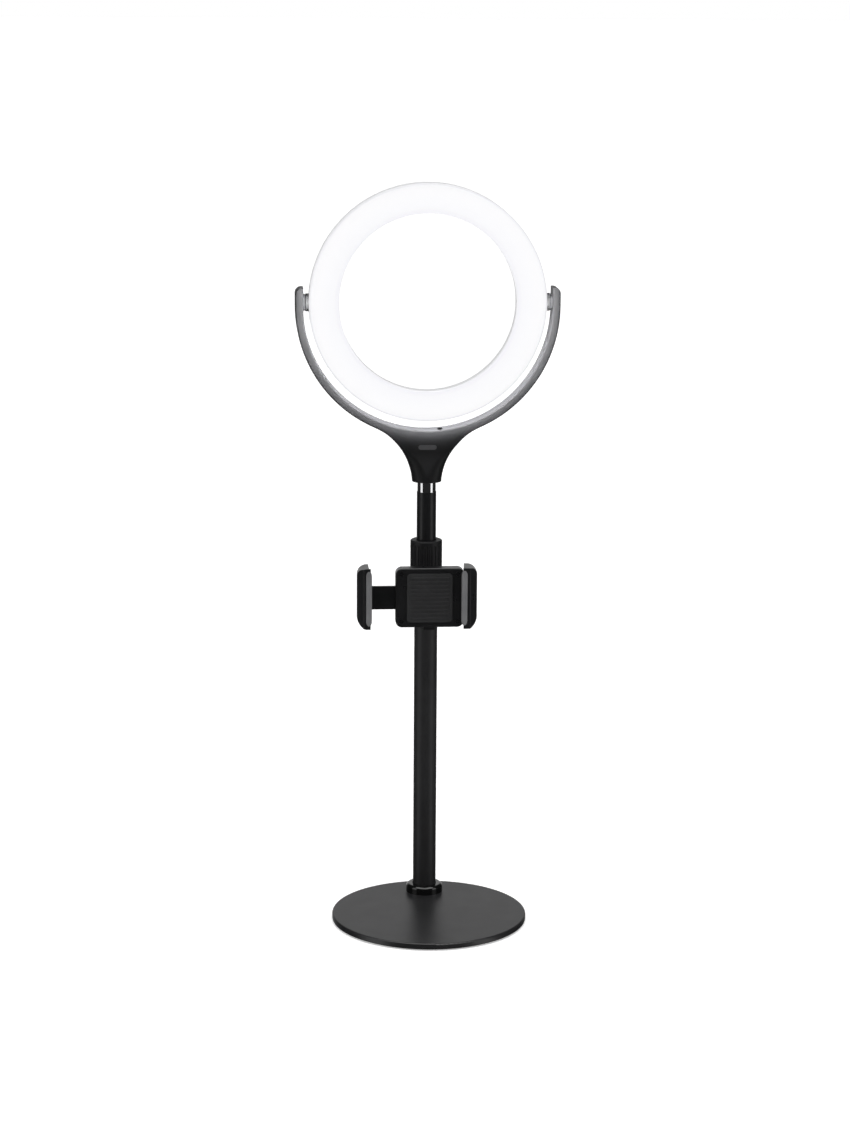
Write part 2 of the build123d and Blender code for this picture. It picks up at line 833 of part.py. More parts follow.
with BuildPart() as clamp_body:
    with BuildSketch(clamp_level):
        Circle(clamp_radius)
    extrude(amount=2 * clamp_half_height)
    fillet(clamp_body.edges().filter_by(GeomType.CIRCLE), 1.0)
    for side in (-1, 1):
        with BuildSketch(sideways(side * lug_gap, pole_y, holder_z)) as lug:
            with Locations((18.25, 0)):
                Rectangle(16.5, 15.0)
            fillet(lug.vertices().group_by(Axis.X)[-1], 4.0)
        extrude(amount=side * lug_thickness)
        with BuildSketch(sideways(side * ear_inner, tilt_y, holder_z)):
            Circle(ear_radius)
            with Locations((4.9, 0)):
                Rectangle(9.8, 2 * ear_radius)
        extrude(amount=side * ear_thickness)
    with BuildSketch(level(holder_z - clamp_half_height)):
        Circle(sleeve_radius + running_gap)
        with Locations((0, 12.0)):
            Rectangle(2 * lug_gap, 8.0)
    extrude(amount=2 * clamp_half_height, mode=Mode.SUBTRACT)
    with BuildSketch(sideways(0, lug_y, holder_z)):
        Circle(clamp_screw_radius + running_gap)
        with Locations((tilt_y - lug_y, 0)):
            Circle(tilt_pin + running_gap)
    extrude(amount=12.0, both=True, mode=Mode.SUBTRACT)
    with BuildSketch(sideways(-6.0, lug_y, holder_z)):
        RegularPolygon(3.6, 6, major_radius=False)
    extrude(amount=2.6, mode=Mode.SUBTRACT)

clamp_nut = hex_nut(sideways(-5.9, lug_y, holder_z), 7.0, clamp_screw_radius + running_gap, 2.4)
tilt_nut = hex_nut(sideways(-9.6, tilt_y, holder_z), 8.0, tilt_pin + running_gap, 2.6)

with BuildPart() as clamp_screw:
    with BuildSketch(sideways(-7.5, lug_y, holder_z)):
        Circle(clamp_screw_radius)
    extrude(amount=22.0)
    chamfer(clamp_screw.edges().group_by(Axis.X)[0], 0.5)

with BuildPart() as clamp_knob:
    add(thumb_knob(sideways(8.3, lug_y, holder_z), 8.0, 10.0, clamp_screw_radius + 0.02).part)
    with BuildSketch(sideways(6.3, lug_y, holder_z)):
        Circle(4.6)
        Circle(clamp_screw_radius + 0.02, mode=Mode.SUBTRACT)
    extrude(amount=2.0)

with BuildPart() as tilt_bolt:
    with BuildSketch(sideways(-10.4, tilt_y, holder_z)):
        Circle(tilt_pin)
    extrude(amount=23.0)
    chamfer(tilt_bolt.edges().group_by(Axis.X)[0], 0.6)

tilt_knob = thumb_knob(sideways(7.1, tilt_y, holder_z), 6.4, 8.0, tilt_pin + 0.02)

with BuildPart() as tilt_knuckle:
    with BuildSketch(sideways(-3.0, tilt_y, holder_z)):
        Circle(ear_radius)
        with Locations((-3.0, 0)):
            Rectangle(6.0, 2 * ear_radius)
    extrude(amount=6.0)
    with BuildSketch(upright(23.0, holder_z)):
        Circle(6.8)
    extrude(amount=2.2)
    with BuildSketch(upright(swivel_y, holder_z)):
        Circle(swivel_radius)
    extrude(amount=5.0)
    with BuildSketch(upright(swivel_y, holder_z)):
        Circle(1.25)
    extrude(amount=6.0, mode=Mode.SUBTRACT)
    with BuildSketch(sideways(-3.0, tilt_y, holder_z)):
        Circle(tilt_pin + running_gap)
    extrude(amount=6.0, mode=Mode.SUBTRACT)

with BuildPart() as swivel_screw:
    with BuildSketch(upright(17.5, holder_z)):
        Circle(6.4)
    extrude(amount=1.2)
    with BuildSketch(upright(15.6, holder_z)):
        Circle(2.8)
    extrude(amount=1.9)
    with BuildSketch(upright(15.6, holder_z)):
        Circle(1.2)
    extrude(amount=8.4)
    with BuildSketch(upright(15.6, holder_z)):
        RegularPolygon(1.25, 6, major_radius=False)
    extrude(amount=1.4, mode=Mode.SUBTRACT)

# Phone holder -------------------------------------------------------------------------


def jaw_shell(grip, side, width):
    """Hooked jaw beside the phone, on the side given by its sign, in its rounded outline."""
    with BuildPart() as piece:
        with BuildSketch(Plane.XY.offset(jaw_bottom)) as section:
            with BuildLine():
                Polyline(
                    (grip - side * 0.2, jaw_lip_front),
                    (grip + side * 5.0, jaw_lip_front),
                    (grip + side * width, phone_back + 0.5),
                    (grip + side * width, jaw_back),
                    (grip + side * 1.1, jaw_back),
                    (grip + side * 1.1, jaw_lip_back),
                    (grip - side * 0.2, jaw_lip_back),
                    close=True,
                )
            make_face()
            fillet(section.vertices().sort_by(Axis.X, reverse=side > 0)[:2], 1.8)
            fillet(section.vertices().sort_by_distance((grip + side * 5.0, jaw_lip_front))[0], 0.9)
        extrude(amount=jaw_top - jaw_bottom)
        with BuildSketch(upright(20.0, (jaw_bottom + jaw_top) / 2)) as outline:
            with Locations((-grip - side * (width / 2 - 0.1), 0)):
                Rectangle(width + 0.2, jaw_top - jaw_bottom)
            outer = outline.vertices().group_by(Axis.X)[0 if side > 0 else -1]
            fillet(outer, 7.4)
        extrude(amount=-30.0, mode=Mode.INTERSECT)
    return piece


def grip_pad(grip, side, reach):
    """Rubber pad wrapped round the lip of a jaw, reaching inwards over the phone."""
    with BuildPart() as piece:
        with BuildSketch(Plane.XY.offset(pad_bottom)):
            with BuildLine():
                Polyline(
                    (grip + side * (pad_width - reach), pad_front),
                    (grip - side * reach, pad_front),
                    (grip - side * reach, phone_front),
                    (grip, phone_front),
                    (grip, phone_back),
                    (grip + side * 1.08, phone_back),
                    (grip + side * 1.08, jaw_lip_back + 0.02),
                    (grip - side * 0.22, jaw_lip_back + 0.02),
                    (grip - side * 0.22, jaw_lip_front - 0.02),
                    (grip + side * (pad_width - reach), jaw_lip_front - 0.02),
                    close=True,
                )
            make_face()
        extrude(amount=pad_top - pad_bottom)
        with BuildSketch(upright(20.0, pad_bottom)):
            with Locations((-grip - side * (pad_width / 2 - reach), 0)):
                with Locations((0, (pad_top - pad_bottom) / 2)):
                    Rectangle(pad_width, pad_top - pad_bottom - 2 * pad_tip)
                with Locations((0, pad_tip), (0, pad_top - pad_bottom - pad_tip)):
                    Ellipse(pad_width / 2, pad_tip)
        extrude(amount=-30.0, mode=Mode.INTERSECT)
    return piece


fixed_jaw_pad = grip_pad(grip_right, 1, fixed_pad_reach)
moving_jaw_pad = grip_pad(grip_left, -1, moving_pad_reach)

with BuildPart() as moving_jaw:
    add(jaw_shell(grip_left, -1, moving_jaw_width).part)
    with BuildSketch(Plane.XY.offset(holder_z - slider_half_height - 0.05)):
        with Locations((grip_left - 3.0, (slider_front + slider_back) / 2)):
            Rectangle(7.0, slider_back - slider_front + 0.1)
    extrude(amount=2 * slider_half_height + 0.1, mode=Mode.SUBTRACT)

with BuildPart() as jaw_slider:
    with BuildSketch(upright(slider_front, holder_z)) as slider_outline:
        with Locations((-slider_middle, 0)):
            Rectangle(slider_length, 2 * slider_half_height)
        fillet(slider_outline.vertices(), 0.8)
    extrude(amount=slider_back - slider_front)

housing_middle = (housing_left + housing_right) / 2
housing_width = housing_right - housing_left

with BuildPart() as holder_housing:
    with BuildSketch(upright(cover_back, holder_z)):
        with Locations((-housing_middle, 0)):
            RectangleRounded(housing_width, 2 * housing_half_height, 5.0)
    extrude(amount=housing_back - cover_back)
    fillet(holder_housing.faces().sort_by(Axis.Y)[-1].outer_wire().edges(), 2.0)
    with BuildSketch(upright(housing_back, holder_z)):
        Circle(7.2)
    extrude(amount=1.7)
    with BuildSketch(Plane.XY.offset(holder_z - 17.0)):
        with Locations((housing_right, 14.4)):
            Rectangle(4.0, 4.8)
    extrude(amount=34.0)
    add(jaw_shell(grip_right, 1, fixed_jaw_width).part)
    with BuildSketch(upright(cover_back, holder_z)):
        with Locations((-housing_middle, 0)):
            RectangleRounded(
                housing_width - 2 * housing_wall - 0.3,
                2 * (housing_half_height - housing_wall),
                3.5,
            )
        with Locations(*holder_screw_places):
            Circle(2.4, mode=Mode.SUBTRACT)
    extrude(amount=housing_back - housing_wall - cover_back, mode=Mode.SUBTRACT)
    with BuildSketch(upright(cover_back, holder_z)):
        with Locations(*holder_screw_places):
            Circle(holder_screw_radius + 0.03)
        with Locations((-housing_left, 0)):
            Rectangle(8.0, 2 * slider_half_height + 0.6)
    extrude(amount=2.9, mode=Mode.SUBTRACT)
    with BuildSketch(upright(cover_back, holder_z)):
        with Locations(*holder_screw_places):
            Circle(holder_screw_radius + 0.03)
    extrude(amount=6.5, mode=Mode.SUBTRACT)
    with BuildSketch(upright(cover_back, holder_z)):
        Circle(swivel_radius + running_gap)
    extrude(amount=20.0, mode=Mode.SUBTRACT)
    with BuildSketch(Plane.XY.offset(holder_z - housing_half_height - 1.0)):
        with Locations((0, 16.0)):
            Rectangle(9.8, 3.4)
    extrude(amount=4.0, mode=Mode.SUBTRACT)

with BuildPart() as holder_front_cover:
    with BuildSketch(upright(cover_front, holder_z)):
        with Locations((-housing_middle + 0.15, 0)):
            RectangleRounded(housing_width - 0.3, 2 * housing_half_height, 5.0)
    extrude(amount=cover_back - cover_front)
    chamfer(holder_front_cover.faces().sort_by(Axis.Y)[0].outer_wire().edges(), 0.5)
    with BuildSketch(upright(cover_front, holder_z)):
        with Locations(*holder_screw_places):
            Circle(holder_screw_radius + 0.1)
    extrude(amount=3.0, mode=Mode.SUBTRACT)
    with BuildSketch(upright(cover_front, holder_z)):
        with Locations(*holder_screw_places):
            Circle(holder_screw_head + 0.15)
    extrude(amount=1.0, mode=Mode.SUBTRACT)

with BuildPart() as holder_screws:
    with BuildSketch(upright(cover_front + 0.1, holder_z)):
        with Locations(*holder_screw_places):
            Circle(holder_screw_head)
    extrude(amount=0.88)
    with BuildSketch(upright(cover_front + 0.1, holder_z)):
        with Locations(*holder_screw_places):
            Circle(holder_screw_radius)
    extrude(amount=7.0)

with BuildPart() as back_pad:
    with BuildSketch(upright(phone_back, holder_z)):
        RectangleRounded(35.0, 38.0, 3.0)
    extrude(amount=cover_front - phone_back)
    fillet(back_pad.faces().sort_by(Axis.Y)[0].outer_wire().edges(), 0.5)

with BuildPart() as release_button:
    with BuildSketch(upright(15.2, holder_z)):
        with Locations((0, -4.1)):
            RectangleRounded(25.0, 33.0, 2.0)
        with Locations((0, -0.2)):
            RectangleRounded(17.2, 17.8, 3.0, mode=Mode.SUBTRACT)
    extrude(amount=1.2)
    with BuildSketch(Plane.XY.offset(holder_z + slider_half_height + 0.1)):
        with Locations((0, 14.3)):
            Rectangle(12.0, 4.2)
    extrude(amount=3.3)
    with BuildSketch(Plane.XY.offset(holder_z - 26.0)):
        with Locations((0, 16.0)):
            RectangleRounded(9.2, 2.8, 1.0)
    extrude(amount=8.0)

with BuildPart() as brake_spring:
    with BuildLine():
        helix = Helix(
            pitch=1.75, height=7.9, radius=1.8, center=(0, 14.6, holder_z + slider_half_height + 3.75)
        )
    with BuildSketch(Plane(origin=helix @ 0, z_dir=helix % 0)):
        Circle(0.28)
    sweep(is_frenet=True)

# Finished pieces ----------------------------------------------------------------------

pieces = {
    "base_plate": base_plate,
    "base_pad": base_pad,
    "base_screw": base_screw,
    "base_collar": base_collar,
    "tube_foot_plug": tube_foot_plug,
    "lower_tube": lower_tube,
    "tube_end_bush": tube_end_bush,
    "lock_collet": lock_collet,
    "lock_collar": lock_collar,
    "upper_tube": upper_tube,
    "slide_bush": slide_bush,
    "spindle": spindle,
    "thrust_washer": thrust_washer,
    "spindle_clip": spindle_clip,
    "neck_bush": neck_bush,
    "neck_spring_washer": neck_spring_washer,
    "yoke_front_shell": yoke_front_shell,
    "yoke_rear_shell": yoke_rear_shell,
    "yoke_screws": yoke_screws,
    "neck_emblem": neck_emblem,
    "control_board": control_board,
    "tact_switches": tact_switches,
    "usb_inlet": usb_inlet,
    "power_button": power_button,
    "brighter_button": brighter_button,
    "dimmer_button": dimmer_button,
    "arm_lead": arm_lead,
    "friction_washers": friction_washers,
    "rest_bumper": rest_bumper,
    "pivot_pins": pivot_pins,
    "pivot_hubs": pivot_hubs,
    "pivot_nuts": pivot_nuts,
    "ring_rear_cover": ring_rear_cover,
    "diffuser": diffuser,
    "reflector": reflector,
    "led_board": led_board,
    "warm_leds": warm_leds,
    "cool_leds": cool_leds,
    "ring_screws": ring_screws,
    "clamp_sleeve": clamp_sleeve,
    "clamp_body": clamp_body,
    "clamp_nut": clamp_nut,
    "clamp_screw": clamp_screw,
    "clamp_knob": clamp_knob,
    "tilt_nut": tilt_nut,
    "tilt_bolt": tilt_bolt,
    "tilt_knob": tilt_knob,
    "tilt_knuckle": tilt_knuckle,
    "swivel_screw": swivel_screw,
    "holder_housing": holder_housing,
    "holder_front_cover": holder_front_cover,
    "holder_screws": holder_screws,
    "back_pad": back_pad,
    "fixed_jaw_pad": fixed_jaw_pad,
    "moving_jaw": moving_jaw,
    "jaw_slider": jaw_slider,
    "moving_jaw_pad": moving_jaw_pad,
    "release_button": release_button,
    "brake_spring": brake_spring,
}

os.makedirs("parts", exist_ok=True)
for name, piece in pieces.items():
    piece.part.label = name
    export_step(piece.part, f"parts/{name}.step")
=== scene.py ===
import json
import math

import bmesh
import bpy
from mathutils import Matrix, Vector


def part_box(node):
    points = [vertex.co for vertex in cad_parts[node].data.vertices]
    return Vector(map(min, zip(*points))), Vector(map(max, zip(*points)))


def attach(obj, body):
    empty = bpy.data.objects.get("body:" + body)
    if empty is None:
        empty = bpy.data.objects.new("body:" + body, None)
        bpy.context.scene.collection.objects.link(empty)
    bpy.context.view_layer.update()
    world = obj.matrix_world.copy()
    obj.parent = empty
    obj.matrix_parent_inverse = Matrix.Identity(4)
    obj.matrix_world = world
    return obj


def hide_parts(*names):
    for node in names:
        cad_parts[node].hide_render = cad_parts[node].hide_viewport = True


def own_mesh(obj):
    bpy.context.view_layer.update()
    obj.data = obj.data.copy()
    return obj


# Looks of the desktop ring light. Metres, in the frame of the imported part: origin at the
# centre of the base's underside, +Z up, the light shines towards -Y.

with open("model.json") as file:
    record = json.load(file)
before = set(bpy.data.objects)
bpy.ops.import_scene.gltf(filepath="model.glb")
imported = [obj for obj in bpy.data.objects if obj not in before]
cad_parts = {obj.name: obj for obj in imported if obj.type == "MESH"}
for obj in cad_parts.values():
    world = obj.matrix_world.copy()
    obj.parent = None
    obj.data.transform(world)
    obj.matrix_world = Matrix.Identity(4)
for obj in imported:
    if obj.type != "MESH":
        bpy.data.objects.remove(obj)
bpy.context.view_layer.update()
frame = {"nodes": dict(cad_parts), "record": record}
nodes = frame["nodes"]
MM = 0.001


def mid(node):
    """Middle of a CAD node's box."""
    low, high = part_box(node)
    return (low + high) / 2


RING_WIDTH = 23.2 * MM

ring_low, ring_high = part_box("diffuser")
ring_middle = mid("diffuser")
ring_outer = (ring_high.x - ring_low.x) / 2
ring_inner = ring_outer - RING_WIDTH


# Materials ----------------------------------------------------------------------------


def new_material(name):
    """Empty node material with a Principled shader wired to its output."""
    material = bpy.data.materials.new(name)
    material.use_nodes = True
    tree = material.node_tree
    tree.nodes.clear()
    shader = tree.nodes.new("ShaderNodeBsdfPrincipled")
    output = tree.nodes.new("ShaderNodeOutputMaterial")
    tree.links.new(shader.outputs["BSDF"], output.inputs["Surface"])
    return material, tree, shader


def noise(tree, scale, detail, stretch=(1.0, 1.0, 1.0)):
    """Noise in the object's own coordinates."""
    place = tree.nodes.new("ShaderNodeTexCoord")
    mapping = tree.nodes.new("ShaderNodeMapping")
    mapping.inputs["Scale"].default_value = stretch
    texture = tree.nodes.new("ShaderNodeTexNoise")
    texture.inputs["Scale"].default_value = scale
    texture.inputs["Detail"].default_value = detail
    tree.links.new(place.outputs["Object"], mapping.inputs["Vector"])
    tree.links.new(mapping.outputs["Vector"], texture.inputs["Vector"])
    return texture.outputs["Fac"]


def spread(tree, factor, low, high, start=0.3, end=0.7):
    """Number that runs from low to high while a factor runs from start to end."""
    node = tree.nodes.new("ShaderNodeMapRange")
    node.inputs["From Min"].default_value = start
    node.inputs["From Max"].default_value = end
    node.inputs["To Min"].default_value = low
    node.inputs["To Max"].default_value = high
    tree.links.new(factor, node.inputs["Value"])
    return node.outputs["Result"]


def tint(tree, factor, stops):
    """Colour ramp over a factor; stops are (position, colour)."""
    ramp = tree.nodes.new("ShaderNodeValToRGB")
    marks = ramp.color_ramp.elements
    while len(marks) < len(stops):
        marks.new(0.5)
    for mark, (position, color) in zip(marks, stops):
        mark.position = position
        mark.color = (*color, 1.0)
    tree.links.new(factor, ramp.inputs["Fac"])
    return ramp.outputs["Color"]


def grain(tree, shader, height, depth):
    """Bump from a height; depth in metres."""
    bump = tree.nodes.new("ShaderNodeBump")
    bump.inputs["Strength"].default_value = 1.0
    bump.inputs["Distance"].default_value = depth
    tree.links.new(height, bump.inputs["Height"])
    tree.links.new(bump.outputs["Normal"], shader.inputs["Normal"])


def shades(color, amount):
    """A colour made darker and lighter by a share."""
    return [c * (1 - amount) for c in color], [min(1.0, c * (1 + amount)) for c in color]


def finish_material(name, color, roughness, metallic=0.0, vary=0.12, patch=60.0, fine=2500.0,
                    depth=0.00001, rough_vary=0.03, coat=0.0, specular=0.5):
    """Moulded or painted finish: patchy colour and roughness over a fine grain."""
    material, tree, shader = new_material(name)
    patches = noise(tree, patch, 5.0)
    dark, light = shades(color, vary)
    tree.links.new(tint(tree, patches, ((0.3, dark), (0.7, light))), shader.inputs["Base Color"])
    smudges = noise(tree, patch * 2.3, 6.0)
    rough = spread(tree, smudges, roughness - rough_vary, roughness + rough_vary)
    tree.links.new(rough, shader.inputs["Roughness"])
    grain(tree, shader, noise(tree, fine, 3.0), depth)
    shader.inputs["Metallic"].default_value = metallic
    shader.inputs["Specular IOR Level"].default_value = specular
    shader.inputs["Coat Weight"].default_value = coat
    return material


BLACK_SPECULAR = 0.32

finishes = {
    "base_paint": dict(color=(0.0135, 0.0135, 0.0145), roughness=0.36, rough_vary=0.015,
                       patch=25.0, fine=3500.0, depth=0.00002, specular=0.6),
    "pole_paint": dict(color=(0.019, 0.019, 0.020), roughness=0.44, depth=0.000006,
                       specular=BLACK_SPECULAR),
    "tube_paint": dict(color=(0.009, 0.009, 0.010), roughness=0.34, depth=0.000006,
                       specular=BLACK_SPECULAR),
    "spindle_chrome": dict(color=(0.72, 0.72, 0.73), roughness=0.09, metallic=1.0, vary=0.05,
                           depth=0.000002),
    "collar_gloss": dict(color=(0.004, 0.004, 0.004), roughness=0.12, depth=0.000002, coat=0.3),
    "foam_pad": dict(color=(0.012, 0.012, 0.012), roughness=0.9, fine=900.0, depth=0.0001),
    "black_plastic": dict(color=(0.009, 0.009, 0.010), roughness=0.48, depth=0.00002,
                          specular=BLACK_SPECULAR),
    "yoke_plastic": dict(color=(0.0075, 0.0075, 0.008), roughness=0.50, depth=0.000004,
                         specular=0.25),
    "holder_plastic": dict(color=(0.009, 0.009, 0.010), roughness=0.30, depth=0.0000012),
    "grip_rubber": dict(color=(0.13, 0.13, 0.134), roughness=0.72, fine=1800.0, depth=0.00003),
    "back_rubber": dict(color=(0.022, 0.022, 0.023), roughness=0.75, fine=1500.0,
                        depth=0.00004, specular=0.3),
    "natural_plastic": dict(color=(0.6, 0.58, 0.53), roughness=0.45),
    "steel": dict(color=(0.5, 0.5, 0.51), roughness=0.28, metallic=1.0, vary=0.08),
    "black_steel": dict(color=(0.03, 0.03, 0.032), roughness=0.35, metallic=0.8),
    "emblem_print": dict(color=(0.05, 0.05, 0.053), roughness=0.45),
    "board_green": dict(color=(0.015, 0.12, 0.045), roughness=0.3),
    "board_white": dict(color=(0.8, 0.81, 0.8), roughness=0.4, vary=0.05),
    "switch_black": dict(color=(0.02, 0.02, 0.02), roughness=0.5),
    "lead_white": dict(color=(0.65, 0.65, 0.64), roughness=0.5, vary=0.05),
    "reflector_white": dict(color=(0.88, 0.88, 0.87), roughness=0.6, vary=0.03),
    "ring_white": dict(color=(0.80, 0.80, 0.81), roughness=0.35, vary=0.02, depth=0.000008),
    "led_warm": dict(color=(0.85, 0.6, 0.15), roughness=0.35),
    "led_cool": dict(color=(0.85, 0.8, 0.4), roughness=0.35),
}
looks = {name: finish_material(name, **settings) for name, settings in finishes.items()}

# Glow of the ring's front: its strength, and its colour from the inner rim to the outer one.
RING_STRENGTH = 0.655
RING_GLOW = (
    (0.0, (0.88, 0.875, 0.91)),
    (0.2, (0.96, 0.96, 0.985)),
    (0.45, (0.985, 0.985, 1.0)),
    (0.75, (1.0, 0.995, 1.0)),
    (0.92, (0.955, 0.955, 0.97)),
    (1.0, (0.66, 0.66, 0.68)),
)


def opal():
    """Opal plastic lit from behind: the LEDs stop short of the rims, so the rims glow less."""
    material, tree, shader = new_material("diffuser_opal")
    shader.inputs["Roughness"].default_value = 0.32
    shader.inputs["Base Color"].default_value = (0.35, 0.35, 0.36, 1.0)
    place = tree.nodes.new("ShaderNodeTexCoord")
    offset = tree.nodes.new("ShaderNodeVectorMath")
    offset.operation = "SUBTRACT"
    offset.inputs[1].default_value = ring_middle
    tree.links.new(place.outputs["Object"], offset.inputs[0])
    flatten = tree.nodes.new("ShaderNodeVectorMath")
    flatten.operation = "MULTIPLY"
    flatten.inputs[1].default_value = (1.0, 0.0, 1.0)
    tree.links.new(offset.outputs["Vector"], flatten.inputs[0])
    radius = tree.nodes.new("ShaderNodeVectorMath")
    radius.operation = "LENGTH"
    tree.links.new(flatten.outputs["Vector"], radius.inputs[0])
    across = spread(tree, radius.outputs["Value"], 0.0, 1.0, ring_inner, ring_outer)
    glow = tint(tree, across, RING_GLOW)
    tree.links.new(glow, shader.inputs["Emission Color"])
    shader.inputs["Emission Strength"].default_value = RING_STRENGTH
    grain(tree, shader, noise(tree, 1500.0, 3.0), 0.000004)
    return material


looks["diffuser_opal"] = opal()

slots = {part["node"]: part["material_slot"] for part in frame["record"]["subparts"]}
for name, node in nodes.items():
    node.data.materials.clear()
    node.data.materials.append(looks[slots[name]])
    for face in node.data.polygons:
        face.material_index = 0

# Pieces made here ---------------------------------------------------------------------


def finish_piece(name, mesh, look, body, smooth=50.0):
    """Object of a finished mesh, with its look, riding on a CAD body."""
    data = bpy.data.meshes.new(name)
    mesh.to_mesh(data)
    mesh.free()
    data.materials.append(looks[look])
    data.shade_smooth()
    data.set_sharp_from_angle(angle=math.radians(smooth))
    piece = bpy.data.objects.new(name, data)
    bpy.context.scene.collection.objects.link(piece)
    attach(piece, body)
    return piece


def skin(name, rings, look, body, closed=False, smooth=50.0):
    """Mesh skinned over rings of points; its ends are capped, or joined if it is closed."""
    mesh = bmesh.new()
    rows = [[mesh.verts.new(point) for point in ring] for ring in rings]
    pairs = list(zip(rows, rows[1:]))
    if closed:
        pairs.append((rows[-1], rows[0]))
    else:
        mesh.faces.new(rows[0])
        mesh.faces.new(rows[-1])
    count = len(rows[0])
    for first, second in pairs:
        for k in range(count):
            after = (k + 1) % count
            mesh.faces.new((first[k], first[after], second[after], second[k]))
    bmesh.ops.recalc_face_normals(mesh, faces=mesh.faces)
    return finish_piece(name, mesh, look, body, smooth)


def rounded(corners, steps):
    """Closed outline through (x, y, radius) corners, with each corner rounded."""
    points = []
    count = len(corners)
    for k, (x, y, radius) in enumerate(corners):
        here = Vector((x, y))
        before = Vector(corners[k - 1][:2]) - here
        after = Vector(corners[(k + 1) % count][:2]) - here
        start = here + before.normalized() * min(radius, before.length * 0.45)
        end = here + after.normalized() * min(radius, after.length * 0.45)
        for step in range(steps + 1):
            t = step / steps
            points.append((1 - t) ** 2 * start + 2 * t * (1 - t) * here + t * t * end)
    return points


def divided(points, longest):
    """Closed outline with its long straight runs cut into shorter ones."""
    result = []
    for k, point in enumerate(points):
        run = points[(k + 1) % len(points)] - point
        cuts = max(1, math.ceil(run.length / longest))
        result += [point + run * (cut / cuts) for cut in range(cuts)]
    return result


def circle(center, radius, z, count):
    """Points round an upright axis, at one height."""
    return [
        Vector((
            center[0] + radius * math.cos(2 * math.pi * k / count),
            center[1] + radius * math.sin(2 * math.pi * k / count),
            z,
        ))
        for k in range(count)
    ]


def foam_foot():
    """Foam disc under the base, soft at its edges, with a hole for the base screw."""
    low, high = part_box("base_pad")
    thick = high.z
    edge = 0.3 * MM
    hole_center = (0.0, 51.0 * MM)
    hole_radius = 9.0 * MM
    disc_center = (0.0, 0.0)
    disc_radius = (high.x - low.x) / 2
    points = 160
    bands = 12
    arc = [math.radians(15.0 * step) for step in range(7)]
    turn = [(edge * (1 - math.sin(a)), edge * (1 - math.cos(a))) for a in arc]
    rings = [circle(hole_center, hole_radius + inset, lift, points) for inset, lift in turn[::-1]]
    inner = circle(hole_center, hole_radius + edge, 0.0, points)
    outer = circle(disc_center, disc_radius - edge, 0.0, points)
    for band in range(1, bands):
        rings.append([a.lerp(b, band / bands) for a, b in zip(inner, outer)])
    rings += [circle(disc_center, disc_radius - inset, lift, points) for inset, lift in turn]
    rings += [
        [Vector((p.x, p.y, thick - p.z)) for p in ring] for ring in reversed(rings)
    ]
    piece = skin("foam_foot", rings, "foam_pad", "base", closed=True)
    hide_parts("base_pad")


def grip_sleeve(name, node, body, side, reach):
    """Rubber sleeve over a jaw's lip: crowned in front, finely ribbed where it grips.

    The side is the holder's side that the jaw is on, along X, and the reach is how far the lip
    stands over the phone's front."""
    low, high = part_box(node)
    width = high.x - low.x
    length = high.z - low.z
    wall = 1.08 * MM
    plate = low.y + wall
    corner = low.y + 3.7 * MM
    lip = low.y + 2.32 * MM
    inside = reach - 0.22 * MM
    section = divided(rounded([
        (width, low.y, 0.55 * MM),
        (0.0, low.y, 0.75 * MM),
        (0.0, corner, 0.5 * MM),
        (reach, corner, 0.4 * MM),
        (reach, high.y, 0.35 * MM),
        (reach + wall, high.y, 0.35 * MM),
        (reach + wall, lip, 0.1 * MM),
        (inside, lip, 0.1 * MM),
        (inside, plate, 0.1 * MM),
        (width, plate, 0.3 * MM),
    ], 5), 0.5 * MM)
    tip = 4.0 * MM
    spacing = 0.2 * MM
    levels = [tip * (1 - math.cos(math.radians(a))) for a in range(6, 91, 6)]
    levels += [tip + k * spacing for k in range(1, int((length - 2 * tip) / spacing))]
    levels += [length - tip * (1 - math.cos(math.radians(a))) for a in range(90, 0, -6)]
    rib_depth = 0.09 * MM
    rib_pitch = 1.7 * MM
    crown = 0.28 * MM
    droop = 0.5 * MM
    rings = []
    for level in levels:
        over = max(0.0, tip - min(level, length - level)) / tip
        narrow = math.sqrt(1 - over * over)
        rib = rib_depth * (1 - math.cos(2 * math.pi * level / rib_pitch))
        ring = []
        for u, v in section:
            off = (u - width / 2) / (width / 2)
            if v < plate - 0.4 * MM:
                v += crown * off * off + droop * (1 - narrow)
            if abs(u - reach) < 0.05 * MM and corner + 0.6 * MM < v < high.y - 0.4 * MM:
                u += rib
            x = width / 2 + (u - width / 2) * narrow
            ring.append(Vector((low.x + x if side > 0 else high.x - x, v, low.z + level)))
        rings.append(ring)
    piece = skin(name, rings, "grip_rubber", body)
    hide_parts(node)


def slab_ring(center, half_x, half_z, radius, inset, y, steps=10):
    """Outline of a rounded rectangle that faces along Y, drawn in by an inset."""
    ring = []
    bend = radius - inset
    for quarter, (sign_x, sign_z) in enumerate(((1, 1), (-1, 1), (-1, -1), (1, -1))):
        for step in range(steps + 1):
            angle = math.radians(90.0 * (quarter + step / steps))
            ring.append(Vector((
                center.x + sign_x * (half_x - radius) + bend * math.cos(angle),
                y,
                center.z + sign_z * (half_z - radius) + bend * math.sin(angle),
            )))
    return ring


